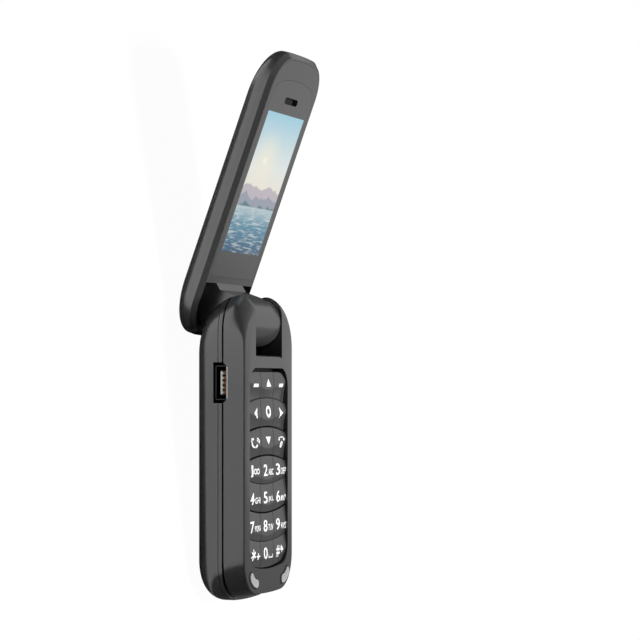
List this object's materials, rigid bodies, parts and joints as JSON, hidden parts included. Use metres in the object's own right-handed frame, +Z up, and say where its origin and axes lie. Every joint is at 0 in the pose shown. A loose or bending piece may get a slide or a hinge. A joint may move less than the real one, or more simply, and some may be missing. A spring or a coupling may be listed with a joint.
{
  "type": "flip phone",
  "caption": "Small flip phone: a keypad half with press keys and a side socket, and a domed lid with a screen on a friction hinge.",
  "frame": {"origin": "centre of the open phone's footprint, on the surface that it lies on", "axes": "+X across to the phone's right, +Y from the keypad's end towards the open lid's tip, +Z up"},
  "size_m": [0.031, 0.1202, 0.0317],
  "materials": {
    "cover_plastic": "fine satin graphite, softly glossy",
    "shell_plastic": "satin graphite with a fine grain",
    "frame_plastic": "dark matt strip",
    "key_plastic": "dark glossy caps with white legends",
    "bumper_rubber": "light grey rubber",
    "screen_lens": "dark glossy lens with a picture behind it",
    "socket_steel": "plated steel",
    "contact_gold": "gold-plated springs",
    "dark_plastic": "black moulded plastic",
    "board_green": "solder mask",
    "battery_wrap": "dull wrap",
    "silicone": "milky silicone",
    "steel": "brushed steel",
    "flex_film": "amber film"
  },
  "bodies": {
    "base": {"rear_cover": "cover_plastic", "front_shell": "shell_plastic", "chassis": "frame_plastic", "closing_bumpers": "bumper_rubber", "usb_shell": "socket_steel", "usb_contacts": "contact_gold", "battery_contacts": "contact_gold", "key_domes": "contact_gold", "usb_tongue": "dark_plastic", "loudspeaker": "dark_plastic", "main_board": "board_green", "battery": "battery_wrap", "keypad_sheet": "silicone", "sim_holder": "steel", "vibration_motor": "steel", "microphone": "steel", "case_screws": "steel", "hinge_pin": "steel", "hinge_shaft": "steel", "hinge_flex": "flex_film"},
    "lid": {"lid_outer_cover": "cover_plastic", "lid_inner_cover": "shell_plastic", "screen_window": "screen_lens", "display_module": "steel", "lid_board": "board_green", "earpiece": "dark_plastic", "earpiece_mesh": "socket_steel", "hinge_cartridge": "steel"},
    "key_soft_left_cap": {"key_soft_left": "key_plastic"},
    "key_up_cap": {"key_up": "key_plastic"},
    "key_soft_right_cap": {"key_soft_right": "key_plastic"},
    "key_left_cap": {"key_left": "key_plastic"},
    "key_ok_cap": {"key_ok": "key_plastic"},
    "key_right_cap": {"key_right": "key_plastic"},
    "key_call_cap": {"key_call": "key_plastic"},
    "key_down_cap": {"key_down": "key_plastic"},
    "key_end_cap": {"key_end": "key_plastic"},
    "key_1_cap": {"key_1": "key_plastic"},
    "key_2_cap": {"key_2": "key_plastic"},
    "key_3_cap": {"key_3": "key_plastic"},
    "key_4_cap": {"key_4": "key_plastic"},
    "key_5_cap": {"key_5": "key_plastic"},
    "key_6_cap": {"key_6": "key_plastic"},
    "key_7_cap": {"key_7": "key_plastic"},
    "key_8_cap": {"key_8": "key_plastic"},
    "key_9_cap": {"key_9": "key_plastic"},
    "key_star_cap": {"key_star": "key_plastic"},
    "key_0_cap": {"key_0": "key_plastic"},
    "key_hash_cap": {"key_hash": "key_plastic"}
  },
  "joints": [
    {"name": "lid_hinge", "type": "hinge", "parent": "base", "child": "lid", "pos_m": [0, 0.00183, 0.01161], "axis": [1, 0, 0], "range_deg": [0, 160]},
    {"name": "key_soft_left_press", "type": "slide", "parent": "base", "child": "key_soft_left_cap", "axis": [0, 0.1, -0.995], "range_m": [0, 0.00035], "stiffness_N_per_m": 2000},
    {"name": "key_up_press", "type": "slide", "parent": "base", "child": "key_up_cap", "axis": [0, 0.1, -0.995], "range_m": [0, 0.00035], "stiffness_N_per_m": 2000},
    {"name": "key_soft_right_press", "type": "slide", "parent": "base", "child": "key_soft_right_cap", "axis": [0, 0.1, -0.995], "range_m": [0, 0.00035], "stiffness_N_per_m": 2000},
    {"name": "key_left_press", "type": "slide", "parent": "base", "child": "key_left_cap", "axis": [0, 0.1, -0.995], "range_m": [0, 0.00035], "stiffness_N_per_m": 2000},
    {"name": "key_ok_press", "type": "slide", "parent": "base", "child": "key_ok_cap", "axis": [0, 0.1, -0.995], "range_m": [0, 0.00035], "stiffness_N_per_m": 2000},
    {"name": "key_right_press", "type": "slide", "parent": "base", "child": "key_right_cap", "axis": [0, 0.1, -0.995], "range_m": [0, 0.00035], "stiffness_N_per_m": 2000},
    {"name": "key_call_press", "type": "slide", "parent": "base", "child": "key_call_cap", "axis": [0, 0.1, -0.995], "range_m": [0, 0.00035], "stiffness_N_per_m": 2000},
    {"name": "key_down_press", "type": "slide", "parent": "base", "child": "key_down_cap", "axis": [0, 0.1, -0.995], "range_m": [0, 0.00035], "stiffness_N_per_m": 2000},
    {"name": "key_end_press", "type": "slide", "parent": "base", "child": "key_end_cap", "axis": [0, 0.1, -0.995], "range_m": [0, 0.00035], "stiffness_N_per_m": 2000},
    {"name": "key_1_press", "type": "slide", "parent": "base", "child": "key_1_cap", "axis": [0, 0.1, -0.995], "range_m": [0, 0.00035], "stiffness_N_per_m": 2000},
    {"name": "key_2_press", "type": "slide", "parent": "base", "child": "key_2_cap", "axis": [0, 0.1, -0.995], "range_m": [0, 0.00035], "stiffness_N_per_m": 2000},
    {"name": "key_3_press", "type": "slide", "parent": "base", "child": "key_3_cap", "axis": [0, 0.1, -0.995], "range_m": [0, 0.00035], "stiffness_N_per_m": 2000},
    {"name": "key_4_press", "type": "slide", "parent": "base", "child": "key_4_cap", "axis": [0, 0.1, -0.995], "range_m": [0, 0.00035], "stiffness_N_per_m": 2000},
    {"name": "key_5_press", "type": "slide", "parent": "base", "child": "key_5_cap", "axis": [0, 0.1, -0.995], "range_m": [0, 0.00035], "stiffness_N_per_m": 2000},
    {"name": "key_6_press", "type": "slide", "parent": "base", "child": "key_6_cap", "axis": [0, 0.1, -0.995], "range_m": [0, 0.00035], "stiffness_N_per_m": 2000},
    {"name": "key_7_press", "type": "slide", "parent": "base", "child": "key_7_cap", "axis": [0, 0.1, -0.995], "range_m": [0, 0.00035], "stiffness_N_per_m": 2000},
    {"name": "key_8_press", "type": "slide", "parent": "base", "child": "key_8_cap", "axis": [0, 0.1, -0.995], "range_m": [0, 0.00035], "stiffness_N_per_m": 2000},
    {"name": "key_9_press", "type": "slide", "parent": "base", "child": "key_9_cap", "axis": [0, 0.1, -0.995], "range_m": [0, 0.00035], "stiffness_N_per_m": 2000},
    {"name": "key_star_press", "type": "slide", "parent": "base", "child": "key_star_cap", "axis": [0, 0.1, -0.995], "range_m": [0, 0.00035], "stiffness_N_per_m": 2000},
    {"name": "key_0_press", "type": "slide", "parent": "base", "child": "key_0_cap", "axis": [0, 0.1, -0.995], "range_m": [0, 0.00035], "stiffness_N_per_m": 2000},
    {"name": "key_hash_press", "type": "slide", "parent": "base", "child": "key_hash_cap", "axis": [0, 0.1, -0.995], "range_m": [0, 0.00035], "stiffness_N_per_m": 2000}
  ]
}
